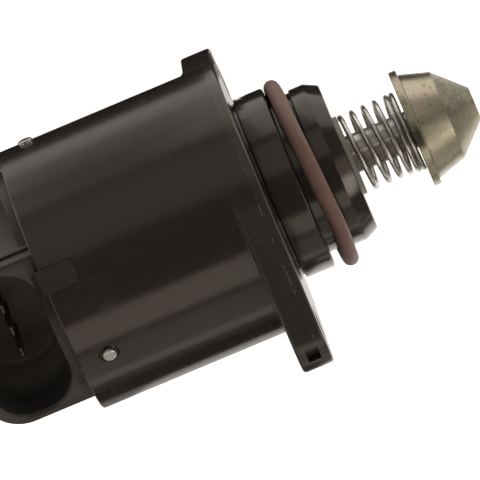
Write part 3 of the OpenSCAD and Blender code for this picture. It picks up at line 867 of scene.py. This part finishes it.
pintleCorners = [
    (19.65, 0), (19.65, 7.65, 0.12), (20.65, 7.65, 0.14), (20.65, 6.78, 0.05),
    (20.75, 6.95, 0.05), (24.5, 5.8, 0.25), (28.25, 2.1, 0.3), (28.25, 0),
]


def makePintle():
    path = roundPath(pintleCorners, closed=False)
    piece = lathe("pintleHead", path, spread(count=192))
    return finishPiece(piece, "plunger", "plated_steel", ["pintle"], edgeAngle=20)


makePintle()
print("pintle made")


# Coil spring, from the bush's collar to the pintle

coil = {
    "wire": 0.345, "radius": 4.85, "widen": 0.16, "first": 11.96, "last": 19.29,
    "leadIn": 0.05, "open": 4, "closed": 1.5, "closedPitch": 0.74, "start": -136,
    "sides": 14, "steps": 64, "skew": 0.2, "viewTurn": 28,
}


def makeSpring():
    c = coil
    turns = c["leadIn"] + c["open"] + c["closed"]
    closedRun = c["closedPitch"] * (c["leadIn"] + c["closed"])
    openPitch = (c["last"] - c["first"] - closedRun) / c["open"]
    steps = ceil(turns * c["steps"])
    rings = []
    for i in range(steps + 1):
        t = turns * i / steps
        x = c["first"] + c["closedPitch"] * min(t, c["leadIn"])
        x += openPitch * min(max(t - c["leadIn"], 0), c["open"])
        x += c["closedPitch"] * max(t - c["leadIn"] - c["open"], 0)
        a = radians(c["start"] + 360 * t)
        leaning = c["skew"] * sin(pi * min(t / c["open"], 1))
        x += leaning * (1 + sin(a + radians(c["viewTurn"])))
        wide = c["radius"] + c["widen"] * t / turns
        rings.append(wireRing(x, wide, c["wire"], a, c["sides"]))
    piece = tube("valveSpring", rings)
    finishPiece(piece, None, "spring_steel", ["valve_spring"], edgeAngle=50)
    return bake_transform(piece)


makeSpring()
print("spring made")


# Floor, lights and camera

studio = {
    "floor": (0.90, 0.90, 0.89),
    "paper": (0.86, 0.86, 0.85),
    "glow": 0.95,
    "glowColour": (1.0, 0.97, 0.93),
    "floorHeight": -26.45,
    "floorHalf": 1500,
    "backdrop": 2400,
    "world": (0.15, 0.145, 0.14),
    "lights": [
        # name, azimuth from +X towards +Y, lowest and highest angle above the floor,
        # distance and length in metres, brightness
        ("band", -90, 51, 76, 0.6, 0.8, 1.1),
        ("low", -90, 20, 46, 0.7, 0.9, 0.45),
        ("strip", -90, 8, 18, 0.8, 1.0, 0.8),
        ("far", 90, 9, 50, 0.8, 1.2, 0.42),
        ("right", 0, 25, 60, 0.6, 0.4, 0.75),
        ("left", 180, 25, 60, 0.6, 0.4, 0.75),
        ("glint", -18, 33, 46, 0.6, 0.24, 3.6),
    ],
    "warmth": (1.0, 0.945, 0.87),
    "aim": (-0.01, 0, 0),
    "flagColour": (0.004, 0.004, 0.004),
    "flagLift": 0.1,
    "flags": [
        # cards on the floor that only reflections see, painting shadow (dark ones) and light
        # (glowing ones) into the reflections: x from, to, y from, to, brightness
        (-70, -0.3, -12, 29.5, 0),
        (-400, -2, -1400, -85, 0),
        (1.6, 34, 4, 5.8, 0),
        (0.7, 34, 5.8, 8.8, 0),
        (-0.3, 0.7, 5.8, 8.8, 2.4),
        (-0.3, 34, 8.8, 22, 0),
        (-2, 400, -420, -130, 0),
        (-70, -28.3, -85, -33, 0.3),
        (-28.3, -2, -85, -33, 0.68),
        (-38, -2, 48, 90, 0.74),
        (-70, -2, 90, 1400, 0.5),
    ],
}
camera = {
    "tilt": 28, "turn": 1.7, "roll": 22.76,
    "distance": 0.860, "across": 0.0600,  # metres: to the middle of the picture, and its width
    "along": -5.42, "below": 4.45, "sensor": 36,  # millimetres
    "clip": (0.05, 20),
}


def card(name, x0, x1, y0, y1, height):
    corners = [(x0, y0, height), (x1, y0, height), (x1, y1, height), (x0, y1, height)]
    piece = newPiece(name, corners, [(0, 1, 2, 3)])
    piece.data.transform(Matrix.Scale(mm, 4))
    return piece


def makeFloor():
    half = studio["floorHalf"]
    piece = card("floor", -half, half, -half, half, studio["floorHeight"])
    f = Finish("paleFloor", {
        "Roughness": 0.75, "Emission Color": studio["glowColour"],
        "Emission Strength": studio["glow"]})
    paper = f.step(f.noise(0.02, 4.0, 0.6), 0.3, 0.8)
    f.feed({"Base Color": f.tint(studio["floor"], studio["paper"], paper)})
    piece.data.materials.append(f.material)


# painted shadow and light: cards that only glossy reflections see
def makeShadeAndLightCards():
    height = studio["floorHeight"] + studio["flagLift"]
    for number, (x0, x1, y0, y1, bright) in enumerate(studio["flags"]):
        piece = card("flag%d" % number, x0, x1, y0, y1, height)
        f = Finish("flag%d" % number, {
            "Base Color": studio["flagColour"], "Roughness": 0.9,
            "Emission Color": studio["glowColour"], "Emission Strength": bright})
        piece.data.materials.append(f.material)
        piece.visible_camera = piece.visible_diffuse = False
        piece.visible_shadow = piece.visible_transmission = False


def makeBackdrop(steps=32):
    size = studio["backdrop"]
    path = [(size * cos(pi * k / steps), size * sin(pi * k / steps)) for k in range(steps + 1)]
    path[-1] = (-size, 0)
    piece = lathe("backdrop", path, spread(count=64))
    piece.data.transform(Matrix.Scale(mm, 4))
    f = Finish("paleBackdrop", {
        "Base Color": (0, 0, 0), "Roughness": 1.0,
        "Emission Color": (1.0, 1.0, 1.0), "Emission Strength": 1.0})
    piece.data.materials.append(f.material)
    piece.visible_diffuse = piece.visible_glossy = False
    piece.visible_shadow = piece.visible_transmission = False


def makeLight(name, azimuth, low, high, distance, length, brightness):
    lamp = bpy.data.lights.new(name, "AREA")
    lamp.shape, lamp.color = "RECTANGLE", studio["warmth"]
    lamp.size, lamp.size_y = length, 2 * distance * tan(radians(high - low) / 2)
    lamp.energy = brightness * pi * lamp.size * lamp.size_y
    light = bpy.data.objects.new(name, lamp)
    a, h = radians(azimuth), radians((low + high) / 2)
    way = Vector((cos(a) * cos(h), sin(a) * cos(h), sin(h)))
    light.location = Vector(studio["aim"]) + way * distance
    light.rotation_euler = way.to_track_quat("Z", "Y").to_euler()
    bpy.context.scene.collection.objects.link(light)


def makeCamera():
    tilt, turn, roll = radians(camera["tilt"]), radians(camera["turn"]), radians(camera["roll"])
    toEye = Vector((sin(turn), sin(tilt) * cos(turn), cos(tilt) * cos(turn)))
    axis = (Vector((1, 0, 0)) - toEye * toEye.x).normalized()
    over = toEye.cross(axis)
    right = axis * cos(roll) - over * sin(roll)
    up = axis * sin(roll) + over * cos(roll)
    middle = Vector((camera["along"] * mm, 0, 0)) - over * camera["below"] * mm
    lens = bpy.data.cameras.new("camera")
    lens.sensor_width = camera["sensor"]
    lens.lens = camera["sensor"] * camera["distance"] / camera["across"]
    lens.clip_start, lens.clip_end = camera["clip"]
    eye = bpy.data.objects.new("camera", lens)
    turnTo = Matrix((right, up, toEye)).transposed()
    eye.matrix_world = Matrix.Translation(middle + toEye * camera["distance"]) @ turnTo.to_4x4()
    bpy.context.scene.collection.objects.link(eye)
    bpy.context.scene.camera = eye


def makeWorld():
    world = bpy.data.worlds.new("studio")
    world.use_nodes = True
    world.node_tree.nodes["Background"].inputs["Color"].default_value = (*studio["world"], 1)
    bpy.context.scene.world = world
    bpy.context.scene.view_settings.view_transform = "Standard"


makeFloor()
makeShadeAndLightCards()
makeBackdrop()
for lamp in studio["lights"]:
    makeLight(*lamp)
makeCamera()
makeWorld()
print("studio made")
